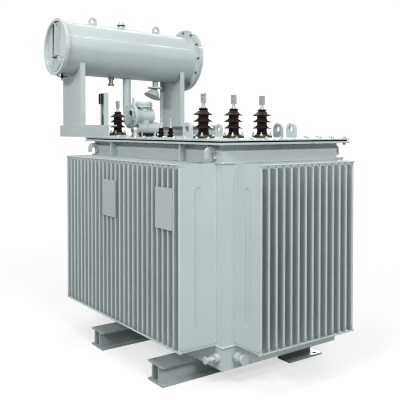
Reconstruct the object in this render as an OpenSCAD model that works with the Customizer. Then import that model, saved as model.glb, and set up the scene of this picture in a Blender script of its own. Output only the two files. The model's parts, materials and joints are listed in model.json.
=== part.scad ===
// Oil-filled power transformer with corrugated cooling walls and a conservator
// Millimetres. The origin is on the floor, at the centre of the skid's outer anchor holes.
// +X is the end of the tank away from the conservator, -Y is the long side with the plates, +Z is up.

/* [Skid] */
// Distance between the two skid beams, centre to centre
beam_gauge = 670; // [500:5:900]
// Length of a skid beam
beam_l = 1022; // [900:2:1200]
// Width of a skid beam's top and bottom plates
beam_w = 145; // [120:1:180]
// Height of a skid beam
beam_h = 106; // [80:1:140]
// Thickness of the beam plates
beam_plate_t = 10; // [6:0.5:14]
// Thickness of the beam webs
beam_web_t = 8; // [5:0.5:12]
// Clear gap between the two webs of a beam
beam_web_gap = 52; // [40:1:60]
// Diameter of the anchor holes
anchor_d = 22; // [14:1:26]
// Anchor hole to the middle of its beam
anchor_offset = 54; // [50:1:57]
// Anchor hole to the end of the beam
anchor_end = 38; // [25:1:60]
// Length of the short channel foot
stub_l = 257; // [180:1:300]
// Flange width of the short channel foot
stub_w = 98; // [60:1:100]
// Clear gap between the right skid beam and the short foot
stub_gap = 30; // [30:0.5:80]
// End of the short foot to the tank's rear wall
stub_inset_y = 13; // [5:1:60]

/* [Tank] */
// Length of the tank
tank_l = 1414; // [1300:2:1600]
// Width of the tank
tank_w = 825; // [760:1:950]
// Middle of the tank along the skid's X axis
tank_x = -75; // [-120:1:0]
// Middle of the tank along the skid's Y axis
tank_y = 111.5; // [40:0.5:140]
// Height of the plain tank base
base_h = 119; // [90:1:160]
// How far the base is set back from the wall
base_inset = 4; // [2:0.5:10]
// Height of the plain band over the fins
band_h = 92; // [80:1:130]

/* [Corrugated walls] */
// Height of the fins
fin_h = 925; // [700:5:1100]
// Pitch of the fins
fin_pitch = 50; // [44:1:52]
// Thickness of a fin
fin_t = 11; // [8:0.5:16]
// Thickness of a fin where its ends are pressed shut
fin_end_t = 5; // [3:0.5:7]
// Height of the pressed ends
fin_press_h = 13; // [10:1:30]
// Corner radius of the swelled part of a fin
fin_corner_r = 30; // [20:1:60]
// Depth of the fins on the long front side
front_fin_d = 225; // [150:1:260]
// Number of fins on the long front side
front_fins = 27; // [21:1:27]
// Depth of the fins on the long rear side
rear_fin_d = 225; // [150:1:260]
// Number of fins on the long rear side
rear_fins = 23; // [15:1:25]
// Depth of the fins on the two short ends
end_fin_d = 198; // [150:1:240]
// Number of fins on each short end
end_fins = 14; // [10:1:14]
// Thickness of the wall sheet between the fins
sheet_t = 3; // [2:0.5:5]
// Diameter of the tie rods across the fin edges
rod_d = 9; // [6:0.5:12]
// How far a tie rod runs past the last fin
rod_over = 12; // [6:1:20]
// Width of the pressed groove in the outermost fins
bead_w = 40; // [24:1:60]
// Height of the pressed groove in the outermost fins
bead_h = 690; // [500:5:690]
// Depth of the pressed groove
bead_t = 3; // [2:0.5:4]

/* [Cover] */
// Width of the rim flange around the tank
rim_w = 50; // [45:1:70]
// Thickness of the rim flange
rim_t = 11; // [8:0.5:18]
// Thickness of the gasket
gasket_t = 8; // [4:0.5:10]
// How far the gasket is set back from the rim's edge
gasket_inset = 9; // [3:0.5:12]
// Width of the gasket
gasket_w = 60; // [40:1:80]
// Thickness of the cover plate
lid_t = 8; // [6:0.5:14]
// Stiffener plates under the rim to the middle of the tank
stiffener_x = 391; // [200:1:480]
// Depth of a stiffener plate
stiffener_d = 46; // [30:1:48]
// Thickness of the stiffeners
stiffener_t = 10; // [6:0.5:14]
// Middle of a lifting hook to the end of the tank
hook_inset = 53; // [20:1:90]
// How far a lifting hook reaches out from the wall
hook_d = 70; // [60:1:80]
// Height of a lifting hook
hook_h = 60; // [54:1:74]
// Width of a hook's outer leg
hook_leg = 18; // [12:1:20]
// Height of a hook's arch over its notch
hook_arch = 28; // [18:1:34]
// Width of the notch in a hook
hook_notch = 34; // [24:1:38]
// Gap between a hook and the rim
hook_drop = 12; // [4:1:16]
// Thickness of a lifting hook
hook_t = 16; // [10:1:24]
// Cover lugs inward from the tank's end walls
lug_end = 341; // [330:1:400]
// Cover lugs inward from the tank's long walls
lug_side = 26.5; // [20:0.5:60]
// Second rear cover lug inward from the right end wall
lug_extra_end = 459; // [440:1:520]
// Width of a cover lug
lug_w = 76; // [60:1:90]
// Height of a cover lug
lug_h = 90; // [70:1:110]
// Thickness of a cover lug
lug_t = 16; // [10:1:20]
// Diameter of the hole in a cover lug
lug_hole_d = 38; // [24:1:44]

/* [Bushings] */
// Large bushings to the middle of the tank, along X
bushing_x = 282; // [200:1:320]
// Distance between the large bushings
bushing_pitch = 220; // [160:1:240]
// Height of the large porcelain
bushing_h = 172; // [150:1:210]
// Shed diameter of the large porcelain
shed_d = 114; // [100:1:130]
// Core diameter of the large porcelain
core_d = 60; // [50:1:80]
// Height of the stud under the flat terminal
palm_stud_h = 28; // [20:1:40]
// Diameter of the stud under the flat terminal
palm_stud_d = 17; // [12:1:22]
// Height of the flat terminal on a large bushing
palm_h = 54; // [50:1:80]
// Width of the flat terminal
palm_w = 42; // [28:1:46]
// Thickness of the flat terminal
palm_t = 9; // [6:0.5:14]
// Diameter of the holes in the flat terminal
palm_hole_d = 13; // [9:0.5:15]
// Distance between the two holes in the flat terminal
palm_hole_pitch = 26; // [20:1:30]
// Neutral bushing inward from the left end wall
neutral_end = 94; // [80:1:140]
// Neutral bushing inward from the front wall
neutral_side = 125.5; // [120:0.5:170]
// Height of the round pad under the neutral bushing
neutral_pad_h = 14; // [6:1:20]
// Size of the neutral bushing as a share of a large one
neutral_share = 0.9; // [0.7:0.01:1]
// Small bushings from the middle of the tank, along X
small_x = -293; // [-340:1:-200]
// Distance between the two small bushings
small_pitch = 74; // [60:1:100]
// Middle of the small bushings from the middle of the tank, along Y
small_y = -106; // [-140:1:-60]
// Diameter of a small bushing
small_d = 44; // [36:1:52]
// Height of a small bushing
small_h = 60; // [50:1:80]
// Height of a small bushing's stud
small_stud_h = 62; // [40:1:80]

/* [Conservator] */
// Outer radius of the conservator's shell
cons_r = 184; // [160:1:200]
// Thickness of the shell
cons_t = 5; // [3:0.5:8]
// Length of the conservator between its end faces
cons_l = 1105; // [1050:1:1200]
// Conservator's axis out from the tank's end wall
cons_out = 276; // [250:1:320]
// Middle of the conservator from the middle of the tank, along Y
cons_shift = -29; // [-40:1:0]
// Middle of the conservator's axis over the cover
cons_rise = 612; // [560:1:700]
// Slope of the conservator down toward its flange end
cons_tilt = 1.5; // [0:0.1:3]
// Radius of the rim at the gauge end
cons_rim_r = 197; // [188:1:210]
// Length of the rim at the gauge end
cons_rim_l = 26; // [24:1:50]
// Depth of the recess in the gauge end
cons_recess = 17; // [12:1:20]
// Radius of the bolted end flange
cons_flange_r = 239; // [215:1:255]
// Thickness of each of the two bolted end flanges
cons_flange_t = 14; // [10:1:20]
// Width of the posts
post_w = 296; // [240:1:310]
// Depth of the posts' folded edges
post_d = 36; // [24:1:50]
// Plate thickness of the posts
post_t = 8; // [5:0.5:12]
// Front post's outer face inward from the cover's front edge
post_front_in = 6.5; // [5:0.5:30]
// Rear post's outer face inward from the cover's rear edge
post_rear_in = 52.5; // [40:0.5:80]
// Height of the support beams
support_h = 80; // [60:1:110]
// Width of the support beams' flanges
support_w = 62; // [52:1:80]
// Plate thickness of the support beams
support_t = 8; // [5:0.5:12]
// Length of the support beams on the cover
support_in = 339; // [280:1:400]
// How far the support beams run past the posts
support_past = 45; // [20:1:80]
// Outside diameter of the oil pipe
pipe_d = 60; // [48:1:68]
// Wall thickness of the oil pipe
pipe_t = 5; // [3:0.5:8]
// Oil pipe from the middle of the tank, along Y
pipe_y = -12; // [-30:1:10]
// Bend radius of the oil pipe
pipe_bend = 80; // [60:1:110]
// Lifting eyes from the middle of the conservator
eye_y = 268; // [200:1:340]
// Width of a lifting eye
eye_w = 60; // [44:1:80]
// Height of a lifting eye over the shell
eye_h = 56; // [50:1:80]
// Thickness of a lifting eye
eye_t = 14; // [10:1:18]
// Diameter of the hole in a lifting eye
eye_hole_d = 30; // [20:1:36]
// Filler neck from the middle of the conservator
filler_y = -33; // [-100:1:40]
// Radius of the filler neck
filler_r = 22; // [18:1:28]
// Breather stub from the middle of the conservator
breather_y = 272; // [220:1:300]
// Radius of the breather's hood
breather_r = 66; // [50:1:70]
// Drain stub from the middle of the conservator
drain_y = -109; // [-160:1:-70]
// Radius of the drain stub
drain_r = 15; // [10:1:20]
// Width of the oil gauge's frame
gauge_w = 46; // [36:1:56]
// Height of the oil gauge's frame
gauge_h = 246; // [200:1:260]
// Oil gauge to the middle of the gauge end
gauge_x = 28; // [20:1:36]
// How far the oil gauge stands out
gauge_t = 16; // [10:1:20]
// Radius of the round cover under the oil gauge
gauge_cover_r = 54; // [40:1:58]

/* [Gas relay] */
// Relay's axis inward from the tank's end wall
relay_in = 14; // [0:1:40]
// Relay's axis over the cover
relay_rise = 147; // [135:1:170]
// Front face of the relay's round cover from the middle of the tank
relay_front_y = 152; // [140:1:170]
// Radius of the relay's round cover
relay_cover_r = 89; // [80:1:100]
// Thickness of the relay's round cover
relay_cover_t = 22; // [12:1:26]
// Radius of the relay's body
relay_r = 50; // [44:1:56]
// Length of the relay's body
relay_l = 158; // [152:1:180]
// Radius of the relay's upright neck
relay_neck_r = 42; // [34:1:43]
// Radius of the barrel under the relay
relay_barrel_r = 40; // [34:1:44]
// Length of the barrel under the relay
relay_barrel_l = 178; // [150:1:200]
// Barrel's axis over the cover
relay_barrel_rise = 62; // [56:1:66]

/* [Fittings] */
// Width of a bare plate on the fins
plate_w = 160; // [120:1:200]
// Height of a bare plate on the fins
plate_h = 210; // [150:1:260]
// Thickness of a bare plate
plate_t = 3; // [2:0.5:5]
// Underside of the plates over the bottom of the fins
plate_z = 595; // [450:1:650]
// First plate's middle from the middle of the tank
plate_1_x = -68; // [-120:1:0]
// Second plate's middle from the middle of the tank
plate_2_x = 521; // [420:1:540]
// Diameter of the drain valve on the end wall
valve_d = 54; // [50:1:80]
// Reach of the drain valve
valve_l = 72; // [70:1:120]
// Drain valve from the tank's front corner
valve_y = 93; // [60:1:160]
// Diameter of the sampling cock on the front wall
cock_d = 36; // [24:1:50]
// Reach of the sampling cock
cock_l = 80; // [70:1:140]
// Sampling cock from the tank's end corner
cock_x = 45; // [40:1:90]
// Height of the instrument bracket
bracket_h = 207; // [150:1:260]
// Width of the instrument bracket
bracket_w = 50; // [40:1:70]
// Depth of the instrument bracket
bracket_d = 32; // [24:1:44]
// Instrument bracket from the inner end of the support beam
bracket_in = 67; // [40:1:120]

/* [Hidden] */
$fn = 64;
// Small running gap between curved faces that seat on each other
seat = 0.3;
tank_z = beam_h;
fins_z = tank_z + base_h;
rim_z = fins_z + fin_h + band_h;
gasket_z = rim_z + rim_t;
lid_z = gasket_z + gasket_t;
lid_top = lid_z + lid_t;
end_x = tank_x + tank_l / 2;
far_x = tank_x - tank_l / 2;
front_y = tank_y - tank_w / 2;
rear_y = tank_y + tank_w / 2;
cons_x = far_x - cons_out;
cons_z = lid_top + cons_rise;
support_top = lid_top + support_h;
support_end = cons_x - post_w / 2 - support_past;
support_l = far_x - rim_w + support_in - support_end;
cons_front_y = tank_y + cons_shift - cons_l / 2;
cons_rear_y = tank_y + cons_shift + cons_l / 2;
post_clear = 5;
front_post_y = max(front_y - rim_w + post_front_in, cons_front_y + cons_rim_l + post_clear);
rear_post_y = min(rear_y + rim_w - post_rear_in, cons_rear_y - 2 * cons_flange_t - post_clear);
post_margin = 5;
relay_x = far_x + relay_in;
relay_z = lid_top + relay_rise;
relay_y = tank_y - relay_front_y;
relay_neck_y = relay_y + relay_cover_t + relay_l * 0.6;
pipe_line_y = tank_y + pipe_y;
bushing_y = [-bushing_pitch, 0, bushing_pitch];
lug_at = [
    [end_x - lug_end, front_y + lug_side], [far_x + lug_end, rear_y - lug_side],
    [end_x - lug_end, rear_y - lug_side], [end_x - lug_extra_end, rear_y - lug_side]
];
shed_n = 3;
foot_share = 1.13;
clamp_reach = 62;
neutral_x = far_x + neutral_end;
neutral_y = front_y + neutral_side;

paint = [0.70, 0.74, 0.73];
porcelain_brown = [0.16, 0.09, 0.07];
brass = [0.72, 0.58, 0.32];
tinned = [0.66, 0.66, 0.66];
black = [0.08, 0.08, 0.08];
plate_grey = [0.62, 0.66, 0.66];

// A disc or tube that lies along Y and starts at y = 0
module along_y(r, l) {
    rotate([-90, 0, 0]) cylinder(r = r, h = l);
}

// A disc or tube that lies along X and starts at x = 0
module along_x(r, l) {
    rotate([0, 90, 0]) cylinder(r = r, h = l);
}

// An upright outline with half-round ends
module stadium(w, h) {
    translate([0, w / 2]) circle(d = w);
    translate([0, h - w / 2]) circle(d = w);
    translate([-w / 2, w / 2]) square([w, h - w]);
}

// Skid beam along Y: two webs between a top and a bottom plate, drilled at its ends
module skid_beam(x) {
    web_h = beam_h - 2 * beam_plate_t;
    translate([x, 0, 0])
    difference() {
        translate([0, beam_l / 2, 0]) rotate([90, 0, 0]) linear_extrude(beam_l) {
            for (z = [0, beam_h - beam_plate_t])
                translate([-beam_w / 2, z]) square([beam_w, beam_plate_t]);
            for (side = [-1, 1])
                translate([side * (beam_web_gap + beam_web_t) / 2 - beam_web_t / 2, beam_plate_t])
                    square([beam_web_t, web_h]);
        }
        for (side = [-1, 1], end = [-1, 1])
            translate([side * anchor_offset, end * (beam_l / 2 - anchor_end), -1])
                cylinder(d = anchor_d, h = beam_h + 2);
    }
}

module skid_beam_right() { color(paint) skid_beam(beam_gauge / 2); }
module skid_beam_left() { color(paint) skid_beam(-beam_gauge / 2); }

// Short channel foot under the rear corner of the tank, flanges toward +X
module stub_foot() {
    color(paint)
    translate([(beam_gauge + beam_w) / 2 + stub_gap, rear_y - stub_inset_y, 0])
    difference() {
        rotate([90, 0, 0]) linear_extrude(stub_l) {
            square([beam_web_t, beam_h]);
            for (z = [0, beam_h - beam_plate_t])
                translate([0, z]) square([stub_w, beam_plate_t]);
        }
        for (y = [-anchor_end, anchor_end - stub_l])
            translate([stub_w - anchor_d, y, -1]) cylinder(d = anchor_d, h = beam_plate_t + 2);
    }
}

// Closed steel tank: base, plain walls behind the fins, and the band under the rim
module tank_body() {
    color(paint)
    translate([tank_x, tank_y, tank_z]) {
        translate([base_inset - tank_l / 2, base_inset - tank_w / 2, 0])
            cube([tank_l - 2 * base_inset, tank_w - 2 * base_inset, base_h]);
        translate([-tank_l / 2, -tank_w / 2, base_h])
            cube([tank_l, tank_w, fin_h + band_h + rim_t]);
    }
}

// Swelled part of a fin seen from its side, with rounded outer corners
module fin_swell(depth) {
    h = fin_h - 2 * fin_press_h;
    r = fin_corner_r;
    square([depth - r, h]);
    translate([0, r]) square([depth, h - 2 * r]);
    for (y = [r, h - r]) translate([depth - r, y]) circle(r = r);
}

// One fin seen from above, with a rounded outer edge
module fin_plan(depth) {
    translate([-fin_t / 2, 0]) square([fin_t, depth - fin_t / 2]);
    translate([0, depth - fin_t / 2]) circle(d = fin_t, $fn = 24);
}

// One fin that stands out along +Y: a pressed plate with a swelled middle
module fin(depth) {
    translate([-fin_end_t / 2, 0, 0]) cube([fin_end_t, depth, fin_h]);
    intersection() {
        translate([-fin_t / 2, 0, fin_press_h]) rotate([90, 0, 90]) linear_extrude(fin_t) fin_swell(depth);
        linear_extrude(fin_h) fin_plan(depth);
    }
}

// Upright groove pressed into the outer face of an outermost fin, from x = 0 toward +X
module fin_groove(depth) {
    translate([0, depth / 2, (fin_h - bead_h) / 2]) rotate([90, 0, 90]) linear_extrude(fin_t) stadium(bead_w, bead_h);
}

// A corrugated wall: fins along X that stand out along +Y from a sheet, tied by two rods
module fin_bank(count, depth) {
    run = (count - 1) * fin_pitch;
    groove_x = run / 2 + fin_t / 2 - bead_t;
    difference() {
        for (i = [0:count - 1]) translate([i * fin_pitch - run / 2, 0, 0]) fin(depth);
        translate([groove_x, 0, 0]) fin_groove(depth);
        translate([-groove_x - fin_t, 0, 0]) fin_groove(depth);
    }
    translate([-run / 2 - fin_t, 0, 0]) cube([run + 2 * fin_t, sheet_t, fin_h]);
    for (z = [rod_d / 2, fin_h - rod_d / 2])
        translate([-run / 2 - rod_over, depth - rod_d / 2, z])
            along_x(rod_d / 2, run + 2 * rod_over, $fn = 24);
}

module fins_front() {
    color(paint) translate([tank_x, front_y, fins_z]) rotate(180) fin_bank(front_fins, front_fin_d);
}
module fins_rear() {
    color(paint) translate([tank_x, rear_y, fins_z]) fin_bank(rear_fins, rear_fin_d);
}
module fins_right() {
    color(paint) translate([end_x, tank_y, fins_z]) rotate(-90) fin_bank(end_fins, end_fin_d);
}
module fins_left() {
    color(paint) translate([far_x, tank_y, fins_z]) rotate(90) fin_bank(end_fins, end_fin_d);
}

// Flat rectangle around the middle of the tank, grown past its walls
module around_tank(grow) {
    translate([tank_x - tank_l / 2 - grow, tank_y - tank_w / 2 - grow])
        square([tank_l + 2 * grow, tank_w + 2 * grow]);
}

module rim_flange() {
    color(paint) translate([0, 0, rim_z]) linear_extrude(rim_t) difference() {
        around_tank(rim_w);
        around_tank(0);
    }
}

module gasket() {
    color(black) translate([0, 0, gasket_z]) linear_extrude(gasket_t) difference() {
        around_tank(rim_w - gasket_inset);
        around_tank(rim_w - gasket_inset - gasket_w);
    }
}

module lid() {
    color(paint) {
        translate([0, 0, lid_z]) linear_extrude(lid_t) around_tank(rim_w);
        translate([neutral_x, neutral_y, lid_top]) cylinder(r = clamp_reach * neutral_share + 4, h = neutral_pad_h);
    }
}

// Upright plates between the fins and the rim, two on each long wall
module rim_stiffeners() {
    color(paint)
    for (side = [-1, 1], x = [-stiffener_x, stiffener_x])
        translate([tank_x + x - stiffener_t / 2, tank_y + side * tank_w / 2 + min(0, side * stiffener_d), rim_z - band_h])
            cube([stiffener_t, stiffener_d, band_h]);
}

// Hook seen from its side: an arch that reaches out from the wall and ends in a leg
module lifting_hook() {
    round_r = hook_d * 0.4;
    notch_r = hook_notch / 2;
    notch_top = hook_h - hook_arch - notch_r;
    notch_start = hook_d - hook_leg - hook_notch;
    difference() {
        union() {
            square([hook_d - round_r, hook_h]);
            square([hook_d, hook_h - round_r]);
            translate([hook_d - round_r, hook_h - round_r]) circle(r = round_r);
        }
        translate([notch_start, -1]) square([hook_notch, notch_top + 1]);
        translate([notch_start + notch_r, notch_top]) circle(r = notch_r);
    }
}

// Hooks on the long walls near the tank's ends
module lifting_hooks() {
    color(paint)
    for (side = [-1, 1], x = [-1, 1])
        translate([tank_x + x * (tank_l / 2 - hook_inset), tank_y + side * tank_w / 2, rim_z - hook_drop - hook_h])
            rotate(side < 0 ? 180 : 0) translate([-hook_t / 2, 0, 0])
                rotate([90, 0, 90]) linear_extrude(hook_t) lifting_hook();
}

// Round-topped lugs on the cover
module lid_lugs() {
    color(paint)
    for (at = lug_at)
        translate([at[0], at[1] - lug_t / 2, lid_top])
        difference() {
            translate([0, lug_t, 0]) rotate([90, 0, 0]) linear_extrude(lug_t) {
                translate([-lug_w / 2, 0]) square([lug_w, lug_h - lug_w / 2]);
                translate([0, lug_h - lug_w / 2]) circle(d = lug_w);
            }
            translate([0, -1, lug_h - lug_w / 2]) along_y(lug_hole_d / 2, lug_t + 2);
        }
}

// Porcelain with sloped sheds, standing on z = 0
function shed_outline(core_r, shed_r, low, pitch) = [for (i = [0:shed_n - 1], p = [
    [core_r, low + i * pitch],
    [shed_r - 2, low + i * pitch - pitch * 0.06],
    [shed_r, low + i * pitch],
    [shed_r - 3, low + i * pitch + pitch * 0.08],
    [core_r + 6, low + i * pitch + pitch * 0.36],
    [core_r, low + i * pitch + pitch * 0.5]
]) p];

module porcelain(share) {
    core_r = core_d / 2 * share;
    foot_r = foot_share * core_r;
    cap_r = core_r * 0.88;
    shed_r = shed_d / 2 * share;
    h = bushing_h * share;
    color(porcelain_brown) rotate_extrude()
        polygon(concat(
            [[0, 0], [foot_r, 0], [foot_r, h * 0.16], [core_r, h * 0.2]],
            shed_outline(core_r, shed_r, h * 0.337, h * 0.224),
            [[core_r * 0.95, h * 0.91], [core_r * 0.72, h * 0.92], [core_r * 0.72, h * 0.93],
                [cap_r, h * 0.94], [cap_r, h * 0.98], [cap_r * 0.9, h], [0, h]]
        ));
}

// Flat drilled terminal on a stud with a nut, standing on z = 0
module terminal(share) {
    nut_h = palm_stud_h * 0.3 * share;
    stud_h = palm_stud_h * share;
    w = palm_w * share;
    t = palm_t * share;
    h = palm_h * share;
    color(tinned) {
        cylinder(d = palm_stud_d * 1.7 * share, h = nut_h, $fn = 6);
        cylinder(d = palm_stud_d * share, h = stud_h);
        difference() {
            translate([-w / 2, -t / 2, stud_h]) cube([w, t, h]);
            for (side = [-1, 1])
                translate([0, -t, stud_h + h / 2 + side * palm_hole_pitch / 2 * share])
                    along_y(palm_hole_d / 2 * share, 2 * t);
        }
    }
}

module at_large_bushing(i) {
    translate([tank_x + bushing_x, tank_y + bushing_y[i - 1], lid_top]) children();
}
module at_neutral_bushing() {
    translate([neutral_x, neutral_y, lid_top + neutral_pad_h]) children();
}

module bushing_porcelain(i) { at_large_bushing(i) porcelain(1); }
module bushing_terminal(i) { at_large_bushing(i) translate([0, 0, bushing_h]) terminal(1); }
module neutral_porcelain() { at_neutral_bushing() porcelain(neutral_share); }
module neutral_terminal() {
    at_neutral_bushing() translate([0, 0, bushing_h * neutral_share]) terminal(neutral_share);
}

// Brass clamp ring around the foot of a bushing, with four ears
module clamp_ring(share) {
    bore_r = foot_share * core_d / 2 * share + seat;
    ring_r = bore_r + 8 * share;
    ring_h = 20 * share;
    ear_r = clamp_reach * share;
    ear_w = 20 * share;
    ear_h = 12 * share;
    difference() {
        union() {
            cylinder(r = ring_r, h = ring_h);
            for (a = [45:90:315]) rotate(a) translate([0, -ear_w / 2, 0]) cube([ear_r, ear_w, ear_h]);
        }
        translate([0, 0, -1]) cylinder(r = bore_r, h = ring_h + 2);
    }
}

module bushing_clamps() {
    color(brass) {
        for (i = [1:3]) at_large_bushing(i) clamp_ring(1);
        at_neutral_bushing() clamp_ring(neutral_share);
    }
}

// Two small ribbed bushings and their studs
module at_small_bushings() {
    for (side = [-1, 1])
        translate([tank_x + small_x, tank_y + small_y + side * small_pitch / 2, lid_top]) children();
}

module small_bushings() {
    rib = small_h * 0.38;
    color(porcelain_brown) at_small_bushings() {
        cylinder(d = small_d * 0.64, h = small_h);
        for (i = [0:1]) translate([0, 0, i * rib]) cylinder(d = small_d * (1 - i * 0.1), h = rib * 0.58);
    }
}

module small_studs() {
    color(tinned) at_small_bushings() translate([0, 0, small_h]) {
        cylinder(d = small_d * 0.48, h = small_stud_h * 0.3);
        cylinder(d = small_d * 0.25, h = small_stud_h);
    }
}

// The drum's own frame: its middle at the origin, its sloped axis along Y
module at_conservator() {
    translate([cons_x, tank_y + cons_shift, cons_z]) rotate([-cons_tilt, 0, 0]) children();
}

// The drum's full round body, cut from whatever seats on it
module drum_cut() {
    at_conservator() translate([0, -cons_l / 2, 0]) along_y(cons_r + seat, cons_l);
}

// Drum of rolled plate with its end flange, open at both ends
module conservator_shell() {
    start = cons_rim_l - cons_l / 2;
    stop = cons_l / 2 - cons_flange_t;
    color(paint) at_conservator() difference() {
        union() {
            translate([0, start, 0]) along_y(cons_r, stop - start);
            translate([0, stop - cons_flange_t, 0]) along_y(cons_flange_r, cons_flange_t);
        }
        translate([0, start - 1, 0]) along_y(cons_r - cons_t, stop - start + 2);
    }
}

// Dished gauge end: a rim around a plate that is set back
module conservator_gauge_end() {
    color(paint) at_conservator() translate([0, -cons_l / 2, 0]) difference() {
        along_y(cons_rim_r, cons_rim_l);
        translate([0, -1, 0]) along_y(cons_r - cons_t, cons_recess + 1);
    }
}

module conservator_flange_end() {
    color(paint) at_conservator()
        translate([0, cons_l / 2 - cons_flange_t, 0]) along_y(cons_flange_r, cons_flange_t);
}

// Upright oil gauge on the gauge end, with a back plate beside it and a round cover under it
module level_gauge() {
    slot_w = gauge_w * 0.3;
    drop = gauge_h * 0.31;
    plate_w = gauge_w * 0.95;
    plate_h = gauge_h * 0.8;
    cover_x = gauge_cover_r / 3;
    cover_z = drop + gauge_cover_r * 0.78;
    color(paint) at_conservator() translate([0, cons_recess - cons_l / 2, 0]) {
        translate([-gauge_x, 0, -drop]) rotate([90, 0, 0]) linear_extrude(gauge_t) difference() {
            stadium(gauge_w, gauge_h);
            translate([0, (gauge_w - slot_w) / 2]) stadium(slot_w, gauge_h - gauge_w + slot_w);
        }
        translate([gauge_w / 2 - gauge_x - 1, -gauge_t / 2, gauge_w / 3 - drop]) cube([plate_w, gauge_t / 2, plate_h]);
        translate([cover_x, -gauge_t, -cover_z]) along_y(gauge_cover_r, gauge_t);
    }
}

// Round-topped eyes along the top of the drum
module conservator_eyes() {
    top = cons_r + eye_h - eye_w / 2;
    color(paint) difference() {
        at_conservator() for (side = [-1, 1])
            translate([-eye_t / 2, side * eye_y, 0]) rotate([90, 0, 90]) linear_extrude(eye_t) difference() {
                union() {
                    translate([-eye_w / 2, cons_r - eye_t]) square([eye_w, top - cons_r + eye_t]);
                    translate([0, top]) circle(d = eye_w);
                }
                translate([0, top]) circle(d = eye_hole_d);
            }
        drum_cut();
    }
}

// Flared filler neck with a flat cap and two grips
module filler_neck() {
    flare = filler_r * 0.9;
    lip_h = filler_r * 0.3;
    cap_h = filler_r * 0.45;
    grip = filler_r * 0.4;
    color(paint) difference() {
        at_conservator() translate([0, filler_y, cons_r]) {
            translate([0, 0, -filler_r]) cylinder(r = filler_r, h = filler_r + flare);
            translate([0, 0, -flare / 2]) cylinder(r1 = filler_r * 1.8, r2 = filler_r, h = flare);
            translate([0, 0, flare]) cylinder(r = filler_r * 1.36, h = lip_h);
            translate([0, 0, flare + lip_h]) cylinder(r = filler_r * 1.15, h = cap_h);
            for (side = [-1, 1])
                translate([-grip / 2, side * filler_r * 0.7 - grip / 2, flare + lip_h + cap_h])
                    cube([grip, grip, filler_r * 0.5]);
        }
        drum_cut();
    }
}

module conservator_drain() {
    color(brass) difference() {
        at_conservator() translate([0, drain_y, -cons_r]) {
            translate([0, 0, -drain_r * 3]) cylinder(r = drain_r, h = drain_r * 4);
            translate([0, 0, -drain_r * 3.8]) cylinder(r = drain_r * 1.6, h = drain_r * 0.8);
            translate([0, 0, -drain_r]) cylinder(r = drain_r * 1.4, h = drain_r * 1.5, $fn = 6);
        }
        drum_cut();
    }
}

// Vent under the conservator: stub, round flange and a wide hood that leans toward -Y
module breather() {
    stub_r = breather_r * 0.32;
    flange_r = breather_r * 0.88;
    flange_t = breather_r * 0.14;
    drop = breather_r * 0.68;
    hood_h = breather_r * 0.92;
    lean = 24;
    color(paint) difference() {
        at_conservator() translate([0, breather_y, -cons_r]) {
            translate([0, 0, -drop]) cylinder(r = stub_r, h = drop + stub_r);
            translate([0, 0, -drop - flange_t]) cylinder(r = flange_r, h = flange_t);
            translate([0, 0, -drop - flange_t - stub_r * 0.6]) cylinder(r = stub_r * 0.8, h = stub_r);
            translate([0, 0, -drop - flange_t - stub_r * 0.4]) rotate([-lean, 0, 0])
                translate([0, 0, -hood_h]) cylinder(r1 = breather_r, r2 = stub_r, h = hood_h);
        }
        drum_cut();
    }
}

// Post of folded plate, cut to the drum at its top; the folds point along the sign of fold
module post(face_y, fold) {
    color(paint) difference() {
        translate([cons_x, face_y, support_top]) linear_extrude(cons_z - support_top) {
            translate([-post_w / 2, min(0, fold * post_t)]) square([post_w, post_t]);
            for (side = [-1, 1])
                translate([side * (post_w - post_t) / 2 - post_t / 2, min(0, fold * post_d)])
                    square([post_t, post_d]);
        }
        drum_cut();
    }
}

module post_front() { post(front_post_y, 1); }
module post_rear() { post(rear_post_y, -1); }

// Channel on the cover that carries a post beyond the end of the tank
module support_beam(face_y, fold) {
    color(paint)
    translate([support_end, face_y - fold * post_margin, lid_top])
        rotate([90, 0, 90]) linear_extrude(support_l) {
            translate([min(0, fold * support_t), 0]) square([support_t, support_h]);
            for (z = [0, support_h - support_t])
                translate([min(0, fold * support_w), z]) square([support_w, support_t]);
        }
}

module support_beam_front() { support_beam(front_post_y, 1); }
module support_beam_rear() { support_beam(rear_post_y, -1); }

// Oil pipe from the drum down to the relay, with a bend and a flange pair
module conservator_pipe() {
    r = pipe_d / 2;
    inner = r - pipe_t;
    joint_r = r + 22;
    joint_l = 26;
    color(paint) difference() {
        translate([0, pipe_line_y, 0]) {
            translate([cons_x, 0, relay_z + pipe_bend]) difference() {
                cylinder(r = r, h = cons_z - relay_z - pipe_bend);
                translate([0, 0, -1]) cylinder(r = inner, h = cons_z - relay_z);
            }
            translate([cons_x + pipe_bend, 0, relay_z + pipe_bend])
                rotate([90, 0, 0]) rotate_extrude(angle = 90, start = 180) translate([pipe_bend, 0])
                    difference() {
                        circle(r = r);
                        circle(r = inner);
                    }
            translate([cons_x + pipe_bend, 0, relay_z]) difference() {
                union() {
                    along_x(r, relay_x - cons_x - pipe_bend);
                    translate([joint_l, 0, 0]) along_x(joint_r, joint_l);
                }
                translate([-1, 0, 0]) along_x(inner, relay_x - cons_x);
            }
        }
        drum_cut();
        translate([relay_x, pipe_line_y - pipe_d, relay_z]) along_y(relay_r + seat, 2 * pipe_d);
    }
}

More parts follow.
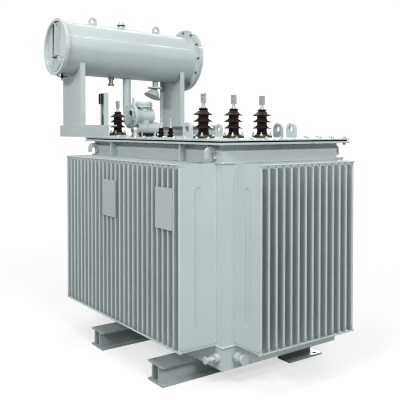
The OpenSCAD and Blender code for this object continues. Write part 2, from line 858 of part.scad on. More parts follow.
// Cast relay body along Y, with a flanged neck over a second barrel that stands on two feet
module relay_body() {
    flange_r = relay_neck_r * 1.43;
    flange_t = relay_neck_r * 0.37;
    rise = relay_r * 1.5;
    barrel_y = relay_neck_y - relay_barrel_l * 0.38;
    foot_t = relay_barrel_r * 0.3;
    color(paint) {
        translate([relay_x, relay_y + relay_cover_t, relay_z]) along_y(relay_r, relay_l);
        translate([relay_x, barrel_y, lid_top + relay_barrel_rise]) {
            along_y(relay_barrel_r, relay_barrel_l);
            along_y(relay_barrel_r * 1.2, foot_t);
        }
        translate([relay_x, relay_neck_y, lid_top + relay_barrel_rise]) {
            cylinder(r = relay_neck_r, h = relay_rise - relay_barrel_rise + rise);
            translate([0, 0, relay_rise - relay_barrel_rise + rise - flange_t])
                cylinder(r = flange_r, h = 2 * flange_t);
        }
        for (along = [0.2, 0.8])
            translate([relay_x - relay_barrel_r * 0.8, barrel_y + along * relay_barrel_l - foot_t / 2, lid_top])
                cube([relay_barrel_r * 1.6, foot_t, relay_barrel_rise]);
    }
}

// Round cover on the relay's front, with a raised middle and a sight recess
module relay_cover() {
    boss_r = relay_cover_r * 0.7;
    boss_t = relay_cover_t * 0.4;
    sight_r = relay_cover_r * 0.25;
    sight_x = relay_cover_r * 0.33;
    sight_z = relay_cover_r * 0.16;
    sight_depth = relay_cover_t * 0.9;
    color(paint) translate([relay_x, relay_y, relay_z]) difference() {
        union() {
            along_y(relay_cover_r, relay_cover_t);
            translate([0, -boss_t, 0]) along_y(boss_r, boss_t + 1);
        }
        translate([sight_x, -boss_t - 1, sight_z]) along_y(sight_r, sight_depth);
    }
}

// Small upright channel for an instrument, open to the front
module instrument_bracket() {
    t = 4;
    color(paint)
    translate([support_end + support_l - bracket_in - bracket_w, front_post_y, support_top])
        linear_extrude(bracket_h) difference() {
            square([bracket_w, bracket_d]);
            translate([t, -1]) square([bracket_w - 2 * t, bracket_d - t + 1]);
        }
}

module instrument_clip() {
    clip_w = 26;
    clip_h = 66;
    clip_d = 24;
    color(black)
    translate([support_end + support_l - bracket_in - bracket_w - clip_w, front_post_y,
        support_top + bracket_h - clip_h - 4])
        linear_extrude(clip_h) difference() {
            square([clip_w, clip_d]);
            translate([clip_w / 3, -1]) square([clip_w / 3, clip_d / 2]);
        }
}

// Bare plates on the tips of the front fins
module nameplates() {
    color(plate_grey)
    for (x = [plate_1_x, plate_2_x])
        translate([tank_x + x - plate_w / 2, front_y - front_fin_d - plate_t, fins_z + plate_z])
            cube([plate_w, plate_t, plate_h]);
}

// Drain valve that stands out of the end wall
module drain_valve() {
    flange_t = 12;
    joint = 3;
    start = valve_l * 0.2;
    color(paint) translate([end_x - base_inset, front_y + valve_y, tank_z + base_h / 2]) {
        along_x(valve_d * 0.36, valve_l);
        for (x = [start, start + flange_t + joint, valve_l - flange_t])
            translate([x, 0, 0]) along_x(valve_d / 2, flange_t);
    }
}

// Sampling cock that stands out of the front wall
module sampling_cock() {
    color(paint) translate([end_x - cock_x, front_y + base_inset - cock_l, tank_z + base_h / 2]) {
        along_y(cock_d * 0.3, cock_l);
        along_y(cock_d / 2, cock_l * 0.12);
        translate([0, cock_l * 0.42, 0]) along_y(cock_d * 0.45, cock_l * 0.18, $fn = 6);
        translate([0, cock_l * 0.72, 0]) along_y(cock_d * 0.62, cock_l * 0.28);
    }
}

skid_beam_right();
skid_beam_left();
stub_foot();
tank_body();
fins_front();
fins_rear();
fins_right();
fins_left();
rim_flange();
rim_stiffeners();
lifting_hooks();
gasket();
lid();
lid_lugs();
bushing_porcelain(1);  // bushing_porcelain_1
bushing_porcelain(2);  // bushing_porcelain_2
bushing_porcelain(3);  // bushing_porcelain_3
bushing_terminal(1);  // bushing_terminal_1
bushing_terminal(2);  // bushing_terminal_2
bushing_terminal(3);  // bushing_terminal_3
bushing_clamps();
neutral_porcelain();
neutral_terminal();
small_bushings();
small_studs();
conservator_shell();
conservator_gauge_end();
conservator_flange_end();
level_gauge();
conservator_eyes();
filler_neck();
conservator_drain();
breather();
post_front();
post_rear();
support_beam_front();
support_beam_rear();
conservator_pipe();
relay_body();
relay_cover();
instrument_bracket();
instrument_clip();
nameplates();
drain_valve();
sampling_cock();
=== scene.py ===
import json
import math

import bpy
from mathutils import Matrix, Vector


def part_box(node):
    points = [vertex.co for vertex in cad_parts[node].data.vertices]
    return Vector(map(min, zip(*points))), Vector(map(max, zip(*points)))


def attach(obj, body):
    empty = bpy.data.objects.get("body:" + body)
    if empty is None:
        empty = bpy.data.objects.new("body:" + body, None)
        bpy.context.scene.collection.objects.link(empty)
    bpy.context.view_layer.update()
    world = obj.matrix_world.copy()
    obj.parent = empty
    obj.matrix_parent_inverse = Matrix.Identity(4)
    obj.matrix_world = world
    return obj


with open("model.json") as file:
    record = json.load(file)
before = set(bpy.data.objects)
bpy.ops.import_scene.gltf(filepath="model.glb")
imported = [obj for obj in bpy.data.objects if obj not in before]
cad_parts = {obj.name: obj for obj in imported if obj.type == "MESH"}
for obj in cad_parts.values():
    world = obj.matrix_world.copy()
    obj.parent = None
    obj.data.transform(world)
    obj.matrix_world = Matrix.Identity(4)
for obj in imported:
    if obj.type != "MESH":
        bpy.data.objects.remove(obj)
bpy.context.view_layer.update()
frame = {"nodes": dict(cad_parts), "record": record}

NODES = frame["nodes"]
SLOT_OF = {s["node"]: s["material_slot"] for s in frame["record"]["subparts"]}
UP, DOWN = Vector((0, 0, 1)), Vector((0, 0, -1))
X_AXIS, Y_AXIS = Vector((1, 0, 0)), Vector((0, 1, 0))


# Materials

def shader_of(mat):
    return mat.node_tree.nodes["Principled BSDF"]


def new_material(name, color, roughness, metallic=0.0):
    mat = bpy.data.materials.new(name)
    mat.use_nodes = True
    shader = shader_of(mat)
    shader.inputs["Base Color"].default_value = (*color, 1)
    shader.inputs["Roughness"].default_value = roughness
    shader.inputs["Metallic"].default_value = metallic
    return mat


def add_node(mat, kind, **values):
    node = mat.node_tree.nodes.new(kind)
    for key, value in values.items():
        if key in node.inputs:
            node.inputs[key].default_value = value
        else:
            setattr(node, key, value)
    return node


def link(mat, a, out, b, into):
    mat.node_tree.links.new(a.outputs[out], b.inputs[into])


def noise(mat, scale, detail=3.0, stretch=None):
    """Noise in the object's own metres, which are the frame's; stretch squeezes it along an axis."""
    place = add_node(mat, "ShaderNodeTexCoord")
    tex = add_node(mat, "ShaderNodeTexNoise", Scale=scale, Detail=detail)
    if stretch:
        mapping = add_node(mat, "ShaderNodeMapping")
        mapping.inputs["Scale"].default_value = stretch
        link(mat, place, "Object", mapping, "Vector")
        link(mat, mapping, "Vector", tex, "Vector")
    else:
        link(mat, place, "Object", tex, "Vector")
    return tex


def ramp(mat, source, out, low, high, color_low, color_high):
    node = add_node(mat, "ShaderNodeValToRGB")
    ends = node.color_ramp.elements
    ends[0].position, ends[1].position = low, high
    ends[0].color, ends[1].color = (*color_low, 1), (*color_high, 1)
    link(mat, source, out, node, "Fac")
    return node


def vary_roughness(mat, tex, low, high):
    span = add_node(mat, "ShaderNodeMapRange")
    span.inputs["To Min"].default_value = low
    span.inputs["To Max"].default_value = high
    link(mat, tex, "Fac", span, "Value")
    link(mat, span, "Result", shader_of(mat), "Roughness")


def bump(mat, tex, distance, strength, edge_radius=None):
    node = add_node(mat, "ShaderNodeBump", Strength=strength, Distance=distance)
    link(mat, tex, "Fac", node, "Height")
    if edge_radius:
        edge = add_node(mat, "ShaderNodeBevel", Radius=edge_radius)
        edge.samples = 4
        link(mat, edge, "Normal", node, "Normal")
    link(mat, node, "Normal", shader_of(mat), "Normal")


def tinted(mat, tex, low, high, color_low, color_high):
    tint = ramp(mat, tex, "Fac", low, high, color_low, color_high)
    link(mat, tint, "Color", shader_of(mat), "Base Color")


def set_shine(mat, specular, coat=0.0, coat_roughness=0.03):
    inputs = shader_of(mat).inputs
    inputs["Specular IOR Level"].default_value = specular
    inputs["Coat Weight"].default_value = coat
    inputs["Coat Roughness"].default_value = coat_roughness


def shade(color, factor):
    return tuple(c * factor for c in color)


PAINT = (0.408, 0.466, 0.468)
BROWN = (0.0048, 0.0022, 0.0015)
# Painted highlight colour for the upward-facing tops of the sheds
SHED_TOP_HIGHLIGHT_BROWN = (0.027, 0.0155, 0.0128)


def paint_material(name, color, gloss=0.0):
    """Sprayed enamel: cloudy tone, fine orange peel, slightly uneven gloss and softened edges."""
    mat = new_material(name, color, 0.4)
    set_shine(mat, 0.5, gloss)
    tinted(mat, noise(mat, 3.2, 5.0), 0.3, 0.72, shade(color, 0.95), shade(color, 1.03))
    vary_roughness(mat, noise(mat, 14.0, 4.0), 0.28, 0.42)
    bump(mat, noise(mat, 420.0, 2.0), 0.0004, 0.12, edge_radius=0.0022)
    return mat


def porcelain_material():
    """Dark glaze, paler on the upward-facing tops of the sheds as a painted highlight."""
    mat = new_material("porcelain_glaze", BROWN, 0.2)
    set_shine(mat, 0.05, 0.12, 0.06)
    # Upward-facing surfaces are lightened towards the highlight colour: a painted highlight
    split = add_node(mat, "ShaderNodeSeparateXYZ")
    link(mat, add_node(mat, "ShaderNodeTexCoord"), "Normal", split, "Vector")
    shed_top_highlight = ramp(mat, split, "Z", 0.25, 0.9, BROWN, SHED_TOP_HIGHLIGHT_BROWN)
    link(mat, shed_top_highlight, "Color", shader_of(mat), "Base Color")
    vary_roughness(mat, noise(mat, 60.0, 4.0), 0.16, 0.26)
    bump(mat, noise(mat, 160.0, 2.0), 0.0003, 0.08, edge_radius=0.0012)
    return mat


def metal_material(name, color, low, high, stretch=None):
    """Mottled metal whose roughness runs from low to high; stretch draws the grain out along an axis."""
    mat = new_material(name, color, (low + high) / 2, 1.0)
    tinted(mat, noise(mat, 55.0, 5.0), 0.3, 0.75, shade(color, 0.72), shade(color, 1.08))
    vary_roughness(mat, noise(mat, 120.0, 4.0, stretch), low, high)
    bump(mat, noise(mat, 500.0, 3.0, stretch), 0.0003, 0.15, edge_radius=0.001)
    return mat


def rubber_material(name, color):
    """Matt rubber or plastic with a fine grain."""
    mat = new_material(name, color, 0.75)
    set_shine(mat, 0.08)
    tinted(mat, noise(mat, 90.0, 4.0), 0.3, 0.7, shade(color, 0.6), shade(color, 1.5))
    bump(mat, noise(mat, 700.0, 2.0), 0.0003, 0.2)
    return mat


MATERIALS = {
    "paint": paint_material("grey_enamel", PAINT),
    "drum": paint_material("glossy_enamel", shade(PAINT, 0.95), 1.0),
    # The drum ends' enamel is lightened beyond the shell's as painted light
    "drum_end": paint_material("end_painted_light_enamel", shade(PAINT, 1.04), 1.0),
    # The skid's enamel is darkened as painted shade for the shade under the tank
    "skid": paint_material("skid_painted_shade_enamel", shade(PAINT, 0.74)),
    "plate": paint_material("plate_enamel", shade(PAINT, 0.9)),
    "porcelain": porcelain_material(),
    "tinned": metal_material("tinned_copper", (0.55, 0.53, 0.50), 0.3, 0.48, (1, 1, 8)),
    "brass": metal_material("cast_brass", (0.085, 0.073, 0.046), 0.34, 0.55),
    "dull_brass": metal_material("weathered_brass", (0.26, 0.25, 0.2), 0.4, 0.6),
    "gasket": rubber_material("black_rubber", (0.016, 0.017, 0.017)),
    "clip": rubber_material("black_plastic", (0.02, 0.021, 0.022)),
    "zinc": metal_material("zinc_plate", (0.56, 0.57, 0.56), 0.34, 0.55),
    "dark_zinc": metal_material("dull_zinc", (0.17, 0.175, 0.175), 0.4, 0.6),
}


# Pieces whose enamel or metal is glossier, duller, darker or lighter than the rest; the skid's darker enamel
# is painted shade and the drum ends' lighter enamel is painted light
LOOK_OF = {
    "conservator_shell": "drum",
    # The drum's ends take the enamel that is lightened as painted light
    "conservator_gauge_end": "drum_end",
    "conservator_flange_end": "drum_end",
    "conservator_drain": "dull_brass",
    # The skid beams and the stub foot take the enamel that is darkened as painted shade
    "skid_beam_right": "skid",
    "skid_beam_left": "skid",
    "stub_foot": "skid",
}


def dress_frame():
    for name, node in NODES.items():
        node.data.materials.clear()
        node.data.materials.append(MATERIALS[LOOK_OF.get(name, SLOT_OF[name])])


# Mesh building

def add_piece(name, verts, faces, material, smooth=False):
    mesh = bpy.data.meshes.new(name)
    mesh.from_pydata([tuple(v) for v in verts], [], faces)
    mesh.validate()
    mesh.materials.append(MATERIALS[material])
    if smooth:
        mesh.polygons.foreach_set("use_smooth", [True] * len(mesh.polygons))
    mesh.update()
    piece = bpy.data.objects.new(name, mesh)
    bpy.context.scene.collection.objects.link(piece)
    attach(piece, "root")


class Batch:
    """Collects many small closed shapes into one mesh."""

    def __init__(self):
        self.verts, self.faces = [], []

    def add(self, verts, faces, place):
        start = len(self.verts)
        self.verts += [place @ Vector(v) for v in verts]
        self.faces += [tuple(start + i for i in f) for f in faces]

    def piece(self, name, material, slot, smooth=False):
        add_piece(name, self.verts, self.faces, material, smooth)


def turned(profile, sides, twist=0.0):
    """A closed solid turned round Z from (radius, height) pairs, lowest first."""
    verts, faces = [], []
    for r, z in profile:
        for i in range(sides):
            a = twist + 2 * math.pi * i / sides
            verts.append((r * math.cos(a), r * math.sin(a), z))
    for k in range(len(profile) - 1):
        for i in range(sides):
            j = (i + 1) % sides
            faces.append((k * sides + i, k * sides + j, (k + 1) * sides + j, (k + 1) * sides + i))
    top = (len(profile) - 1) * sides
    faces.append(tuple(reversed(range(sides))))
    faces.append(tuple(range(top, top + sides)))
    return verts, faces


def hex_head(flats, height):
    """Hexagon with a chamfered top, standing on z = 0."""
    r = flats / 2 / math.cos(math.pi / 6)
    return turned([(r, 0), (r, height * 0.82), (r * 0.86, height)], 6)


def washer(radius, thick):
    edge = thick * 0.3
    return turned([(radius, 0), (radius, thick - edge), (radius - edge, thick)], 20)


def shank(radius, height):
    return turned([(radius, 0), (radius, height - radius * 0.3), (radius * 0.7, height)], 12)


def standing(point, axis, turn=0.0):
    """Places a shape that stands on z = 0 so that it stands on a point along an axis."""
    quat = UP.rotation_difference(Vector(axis).normalized())
    return Matrix.Translation(point) @ quat.to_matrix().to_4x4() @ Matrix.Rotation(turn, 4, "Z")


def add_bolt(batch, point, axis, flats, stud=0.0, turn=0.0):
    """A washer and a hexagon on a face, with a stud end past the hexagon where stud is given."""
    washer_t, washer_r, head_h = flats * 0.12, flats * 0.68, flats * 0.55
    stud_r, stud_foot = flats * 0.3, flats * 0.5
    place = standing(point, axis, turn)
    batch.add(*washer(washer_r, washer_t), place)
    batch.add(*hex_head(flats, head_h), place @ Matrix.Translation((0, 0, washer_t)))
    if stud:
        batch.add(*shank(stud_r, stud), place @ Matrix.Translation((0, 0, washer_t + stud_foot)))


def ring_points(centre, axis, radius, count, start=0.0):
    """Evenly spaced points on a circle round an axis."""
    quat = UP.rotation_difference(Vector(axis).normalized())
    for i in range(count):
        a = start + 2 * math.pi * i / count
        yield centre + quat @ Vector((radius * math.cos(a), radius * math.sin(a), 0))


def middle(node):
    lo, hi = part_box(node)
    return (lo + hi) / 2


def tube(points, radii, sides):
    """A closed round bar through points, with a radius at each."""
    verts, faces = [], []
    for i, p in enumerate(points):
        ahead = points[min(i + 1, len(points) - 1)] - points[max(i - 1, 0)]
        quat = UP.rotation_difference(ahead.normalized())
        for k in range(sides):
            a = 2 * math.pi * k / sides
            verts.append(p + quat @ Vector((radii[i] * math.cos(a), radii[i] * math.sin(a), 0)))
    for i in range(len(points) - 1):
        for k in range(sides):
            j = (k + 1) % sides
            faces.append((i * sides + k, i * sides + j, (i + 1) * sides + j, (i + 1) * sides + k))
    last = (len(points) - 1) * sides
    faces.append(tuple(reversed(range(sides))))
    faces.append(tuple(range(last, last + sides)))
    return verts, faces


def add_weld(batch, corners, size):
    """A rippled weld bead along a line of corner points."""
    pitch, ripple, wander = size * 1.1, 0.09, 0.05
    points = []
    for a, b in zip(corners, corners[1:]):
        steps = max(2, round((b - a).length / pitch))
        points += [a.lerp(b, i / steps) for i in range(steps)]
    points.append(corners[-1])
    radii = [size * (0.5 + ripple * (i % 2) + wander * math.sin(i * 1.7)) for i in range(len(points))]
    batch.add(*tube(points, radii, 6), Matrix.Identity(4))


def block(size):
    """A box on z = 0, centred in X and Y."""
    x, y, z = size[0] / 2, size[1] / 2, size[2]
    verts = [(sx * x, sy * y, h) for h in (0, z) for sx, sy in ((-1, -1), (1, -1), (1, 1), (-1, 1))]
    faces = [(3, 2, 1, 0), (4, 5, 6, 7), (0, 1, 5, 4), (1, 2, 6, 5), (2, 3, 7, 6), (3, 0, 4, 7)]
    return verts, faces


# Places taken from the frame

BUSHINGS = ["bushing_porcelain_1", "bushing_porcelain_2", "bushing_porcelain_3", "neutral_porcelain"]
LUGS = [m for m in frame["record"]["mounts"] if m["name"].startswith("lid_lug")]
LID_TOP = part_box("lid_lugs")[0].z
WALL_LO, WALL_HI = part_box("tank_body")
FINS_LO, FINS_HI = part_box("fins_front")
GAUGE_END, FLANGE_END = middle("conservator_gauge_end"), middle("conservator_flange_end")
DRUM_AXIS = (FLANGE_END - GAUGE_END).normalized()
DRUM_UP = X_AXIS.cross(DRUM_AXIS).normalized()
DRUM_R = 0.184
RELAY_L, NECK_SHARE = 0.158, 0.6


def on_drum(along, across, up):
    """A point in the drum's own frame, measured from the middle of its gauge end."""
    return GAUGE_END + DRUM_AXIS * along + X_AXIS * across + DRUM_UP * up


# Bolts

def rim_bolts():
    """Cover bolts round the rim: heads with stud ends on the cover, smaller nuts under the flange."""
    pitch, inset, flats, stud = 0.104, 0.020, 0.016, 0.004
    lo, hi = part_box("rim_flange")
    points = []
    for a, b, fixed, axis in ((lo.x, hi.x, (lo.y, hi.y), 0), (lo.y, hi.y, (lo.x, hi.x), 1)):
        run = b - a - 2 * inset
        count = round(run / pitch)
        for side in fixed:
            edge = side + inset * (1 if side == min(fixed) else -1)
            for i in range(count + (1 if axis == 0 else 0)):
                if axis == 1 and i == 0:
                    continue
                along = a + inset + run * i / count
                points.append((along, edge) if axis == 0 else (edge, along))
    beams = [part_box("support_beam_front"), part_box("support_beam_rear")]
    heads, nuts = Batch(), Batch()
    for n, (x, y) in enumerate(points):
        if any(l.x - flats < x < h.x + flats and l.y - flats < y < h.y + flats for l, h in beams):
            continue
        add_bolt(heads, Vector((x, y, LID_TOP)), UP, flats, stud, n * 0.7)
        add_bolt(nuts, Vector((x, y, lo.z)), DOWN, flats * 0.9, 0.0, n * 0.9)
    heads.piece("rim_bolt_heads", "zinc", "tinned")
    nuts.piece("rim_bolt_nuts", "paint", "paint")


def conservator_bolts():
    """Twelve bolts through the drum's flange pair, one of them at the top."""
    count, flats, stud, radius, flange_t = 12, 0.014, 0.007, 0.217, 0.014
    batch = Batch()
    for i in range(count):
        a = 2 * math.pi * i / count
        spoke = X_AXIS * math.sin(a) * radius + DRUM_UP * math.cos(a) * radius
        outer = FLANGE_END + spoke + DRUM_AXIS * flange_t / 2
        inner = FLANGE_END + spoke - DRUM_AXIS * flange_t * 1.5
        add_bolt(batch, outer, DRUM_AXIS, flats, 0.0, i * 0.5)
        add_bolt(batch, inner, -DRUM_AXIS, flats, stud, i * 0.8)
    batch.piece("conservator_bolts", "dark_zinc", "tinned")


def clamp_bolts():
    """Studs and nuts on the ears of the bushing clamps."""
    ear_rise, ear_radius, flats, stud = 0.012, 0.053, 0.015, 0.012
    batch = Batch()
    for name in BUSHINGS:
        share = 0.9 if name.startswith("neutral") else 1.0
        foot = middle(name)
        foot.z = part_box(name)[0].z + ear_rise * share
        for n, p in enumerate(ring_points(foot, UP, ear_radius * share, 4, math.pi / 4)):
            add_bolt(batch, p, UP, flats * share, stud, n * 0.6)
    batch.piece("clamp_bolts", "zinc", "tinned")


def relay_bolts():
    """Bolts on the relay's cover, its top flange and the oil pipe's joint."""
    cover_t, cover_radius, neck_radius, joint_radius = 0.022, 0.076, 0.051, 0.042
    flats, joint_flats, stud, neck_grip, joint_grip = 0.013, 0.012, 0.005, 0.031, 0.026
    pipe_r, pipe_bend, joint_in = 0.03, 0.08, 0.052
    cover_lo, cover_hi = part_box("relay_cover")
    _, body_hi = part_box("relay_body")
    pipe_lo, pipe_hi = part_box("conservator_pipe")
    batch = Batch()
    centre = (cover_lo + cover_hi) / 2
    centre.y = cover_hi.y - cover_t
    for n, p in enumerate(ring_points(centre, -Y_AXIS, cover_radius, 8, math.pi / 8)):
        add_bolt(batch, p, -Y_AXIS, flats, 0.0, n * 0.5)
    neck = Vector((centre.x, cover_hi.y + RELAY_L * NECK_SHARE, body_hi.z))
    for n, p in enumerate(ring_points(neck, UP, neck_radius, 6, 0.2)):
        add_bolt(batch, p, UP, flats, stud, n * 0.5)
        add_bolt(batch, p - UP * neck_grip, DOWN, flats, 0.0, n * 0.5)
    joint = Vector((pipe_lo.x + pipe_r + pipe_bend + joint_in, (pipe_lo.y + pipe_hi.y) / 2, centre.z))
    for n, p in enumerate(ring_points(joint, X_AXIS, joint_radius, 6, 0.3)):
        add_bolt(batch, p, X_AXIS, joint_flats, stud, n * 0.5)
        add_bolt(batch, p - X_AXIS * joint_grip, -X_AXIS, joint_flats, 0.0, n * 0.5)
    batch.piece("relay_bolts", "paint", "paint")


def small_hardware():
    """Nuts on the small studs, bolts on the valve flange and rivets on the plates."""
    nut_flats, nut_rises = 0.017, (0.008, 0.022)
    flange_in, flange_pair, bolt_radius, bolt_flats, bolt_stud = 0.0144, 0.027, 0.0228, 0.006, 0.002
    plate_w, rivet_in = 0.160, 0.010
    rivet = [(0.0036, 0), (0.0034, 0.0008), (0.0024, 0.0016), (0.0008, 0.002)]
    batch = Batch()
    lo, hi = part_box("small_studs")
    radius = (hi.x - lo.x) / 2
    for y in (lo.y + radius, hi.y - radius):
        for h in nut_rises:
            add_bolt(batch, Vector(((lo.x + hi.x) / 2, y, lo.z + h)), UP, nut_flats, 0.0, h * 60)
    lo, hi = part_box("drain_valve")
    centre = Vector((lo.x + flange_in + flange_pair, (lo.y + hi.y) / 2, (lo.z + hi.z) / 2))
    for p in ring_points(centre, X_AXIS, bolt_radius, 4, math.pi / 4):
        add_bolt(batch, p, X_AXIS, bolt_flats, bolt_stud)
    lo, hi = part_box("nameplates")
    for x in (lo.x + rivet_in, lo.x + plate_w - rivet_in, hi.x - plate_w + rivet_in, hi.x - rivet_in):
        for z in (lo.z + rivet_in, hi.z - rivet_in):
            batch.add(*turned(rivet, 12), standing(Vector((x, lo.y, z)), -Y_AXIS))
    batch.piece("small_hardware", "zinc", "tinned")


# Welds

def lug_welds(batch):
    """Beads along both faces of each lug's foot."""
    half, out, bead = 0.036, 0.0085, 0.007
    for mount in LUGS:
        x, y, _ = mount["pos_m"]
        for side in (-1, 1):
            edge = y + side * out
            add_weld(batch, [Vector((x - half, edge, LID_TOP)), Vector((x + half, edge, LID_TOP))], bead)


def wall_plate_welds(batch, node, thick):
    """Beads down both sides of the plates that stand on the long walls."""
    out, end, bead = 0.001, 0.004, 0.006
    lo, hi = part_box(node)
    for wall, way in ((WALL_LO.y, -1), (WALL_HI.y, 1)):
        for x in (lo.x + thick / 2, hi.x - thick / 2):
            for side in (-1, 1):
                at = x + side * (thick / 2 + out)
                add_weld(batch, [Vector((at, wall + way * out, lo.z + end)),
                                 Vector((at, wall + way * out, hi.z - end))], bead)


def sheet_welds(batch):
    """Upright beads where the corrugated sheets end on the tank walls."""
    end, sheet_in, out, bead = 0.0115, 0.0065, 0.001, 0.008
    for node in ("fins_front", "fins_rear"):
        lo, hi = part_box(node)
        wall = WALL_LO.y - out if node == "fins_front" else WALL_HI.y + out
        for x in (lo.x + sheet_in - out, hi.x - sheet_in + out):
            add_weld(batch, [Vector((x, wall, lo.z + end)), Vector((x, wall, hi.z - end))], bead)
    for node in ("fins_right", "fins_left"):
        lo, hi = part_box(node)
        wall = WALL_HI.x + out if node == "fins_right" else WALL_LO.x - out
        for y in (lo.y + sheet_in - out, hi.y - sheet_in + out):
            add_weld(batch, [Vector((wall, y, lo.z + end)), Vector((wall, y, hi.z - end))], bead)


def level_seams(batch):
    """Beads round the tank at the top and foot of the corrugated walls."""
    out, bead = 0.0012, 0.010
    x0, x1 = WALL_LO.x - out, WALL_HI.x + out
    y0, y1 = WALL_LO.y - out, WALL_HI.y + out
    for z in (FINS_HI.z, FINS_LO.z):
        corners = [Vector((x, y, z)) for x, y in ((x0, y0), (x1, y0), (x1, y1), (x0, y1), (x0, y0))]
        for a, b in zip(corners, corners[1:]):
            add_weld(batch, [a, b], bead)


def post_welds(batch):
    """Beads at the feet of the posts, along the support beams and where the posts meet the drum."""
    bead, half_steps = 0.007, 12
    for name, way in (("front", -1), ("rear", 1)):
        lo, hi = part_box("post_" + name)
        face = lo.y if way < 0 else hi.y
        add_weld(batch, [Vector((lo.x, face, lo.z)), Vector((hi.x, face, lo.z))], bead)
        half = (hi.x - lo.x) / 2
        along = (face - GAUGE_END.y) / DRUM_AXIS.y
        curve = []
        for i in range(2 * half_steps + 1):
            x = half * (i / half_steps - 1)
            curve.append(on_drum(along, x, -math.sqrt(DRUM_R ** 2 - x * x)))
        add_weld(batch, curve, bead)
        lo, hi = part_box("support_beam_" + name)
        for y in (lo.y, hi.y):
            add_weld(batch, [Vector((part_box("lid")[0].x, y, LID_TOP)), Vector((hi.x, y, LID_TOP))], bead)


def weld_beads():
    stiffener_t, hook_t = 0.010, 0.016
    batch = Batch()
    lug_welds(batch)
    wall_plate_welds(batch, "rim_stiffeners", stiffener_t)
    wall_plate_welds(batch, "lifting_hooks", hook_t)
    sheet_welds(batch)
    level_seams(batch)
    post_welds(batch)
    batch.piece("weld_beads", "paint", "paint", smooth=True)


# Small trim

def gauge_trim():
    """Dark sight strip in the oil gauge, the T handle under it and screws round the round cover below."""
    face, handle_z, bar_r, stem_r, stem_x = 0.004, -0.074, 0.006, 0.007, 0.025
    strip_size, strip_at = (0.013, 0.004, 0.232), on_drum(face - 0.0135, -0.028, -0.072)
    screw_ring, screw_x, screw_z, screw_flats = 0.045, 0.018, -0.1184, 0.008
    strip = Batch()
    strip.add(*block(strip_size), Matrix.Translation(strip_at))
    strip.piece("gauge_trim", "clip", "clip")
    handle = Batch()
    bar = [on_drum(face - 0.026, x, handle_z) for x in (-0.008, 0.058)]
    handle.add(*tube(bar, [bar_r, bar_r], 10), Matrix.Identity(4))
    stem = [on_drum(face - reach, stem_x, handle_z) for reach in (0.012, 0.03)]
    handle.add(*tube(stem, [stem_r, stem_r], 10), Matrix.Identity(4))
    handle.piece("gauge_handle", "dark_zinc", "tinned")
    screws = Batch()
    for n in range(6):
        a = math.radians(30 + 60 * n)
        at = on_drum(face - 0.016, screw_x + screw_ring * math.cos(a), screw_z + screw_ring * math.sin(a))
        add_bolt(screws, at, -DRUM_AXIS, screw_flats)
    screws.piece("gauge_screws", "paint", "paint")


def drum_trim():
    """Dark seal round the filler's lip, and the small cock under the gauge end."""
    lip_t, lean, sink = 0.0125, 0.0005, 0.0024
    seal_ring = [(0.0305, 0), (0.0318, 0.0015), (0.0318, 0.005), (0.0305, 0.0065)]
    cock_in, cock_sunk, lever_drop, lever = 0.046, 0.004, 0.024, (0.012, 0.072, 0.007)
    cock_body = [(0.011, -0.034), (0.011, -0.022), (0.008, -0.022), (0.008, 0.0)]
    cock_spout = [(0.0045, -0.05), (0.0045, -0.034), (0.004, -0.033)]
    seal = Batch()
    lo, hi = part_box("filler_neck")
    at = Vector(((lo.x + hi.x) / 2, (lo.y + hi.y) / 2 + lean, hi.z - 2 * lip_t))
    seal.add(*turned(seal_ring, 32), standing(at - DRUM_UP * sink, DRUM_UP))
    seal.piece("filler_seal", "gasket", "gasket")
    cock = Batch()
    top = on_drum(cock_in, 0.0, -DRUM_R + cock_sunk)
    cock.add(*turned(cock_body, 12), standing(top, DRUM_UP))
    cock.add(*turned(cock_spout, 10), standing(top, DRUM_UP))
    cock.add(*block(lever), Matrix.Translation(top - DRUM_UP * lever_drop))
    cock.piece("drum_cock", "clip", "clip")


